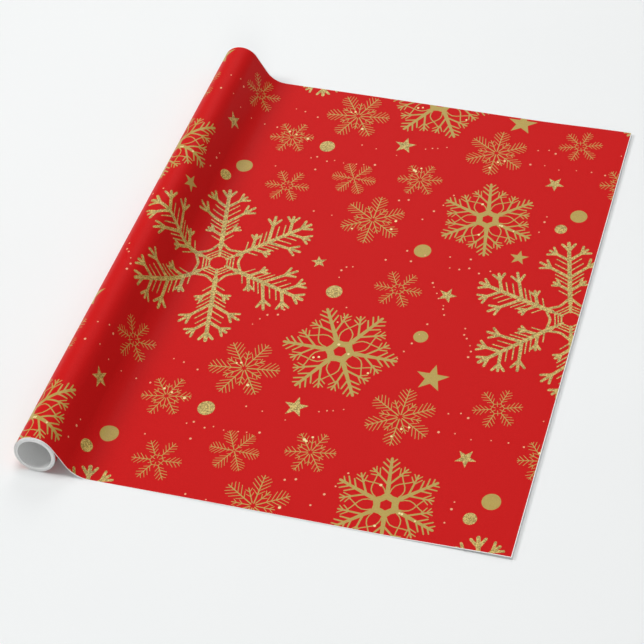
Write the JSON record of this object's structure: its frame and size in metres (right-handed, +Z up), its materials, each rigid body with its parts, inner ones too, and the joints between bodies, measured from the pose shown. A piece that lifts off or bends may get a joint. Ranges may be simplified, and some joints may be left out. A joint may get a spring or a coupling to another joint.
{
  "type": "gift wrapping paper roll",
  "caption": "Roll of patterned gift wrapping paper on a paperboard core, with a leaf of the web drawn off over the top and laid flat.",
  "frame": {"origin": "on the core's axis at mid length", "axes": "+Y along the roll and the core's bore, +X the way the leaf is drawn off, +Z up; the table is at z = -22 mm"},
  "size_m": [0.5099, 0.737, 0.044],
  "materials": {
    "printed_paper": "semi-gloss",
    "liner_paper": "matte",
    "core_board": "matte",
    "clear_tape": "gloss"
  },
  "bodies": {
    "turn": {"outer_turn": "printed_paper", "web_bend": "printed_paper"},
    "roll": {"core_liner_ply": "liner_paper", "core_board_ply": "core_board", "core_cover_ply": "liner_paper", "start_tape": "clear_tape", "wound_turns": "printed_paper"},
    "leaf": {"leaf": "printed_paper"}
  },
  "joints": [
    {"name": "leaf_pull", "type": "slide", "parent": "turn", "child": "leaf", "axis": [1, 0, 0], "range_m": [0, 0.069]},
    {"name": "roll_spin", "type": "hinge", "parent": "turn", "child": "roll", "pos_m": [0, 0, 0], "axis": [0, 1, 0], "range_deg": [0, 180.2]}
  ],
  "couplings": [
    {"joint": "roll_spin", "follows": "leaf_pull", "rad_per_m": 45.455}
  ]
}
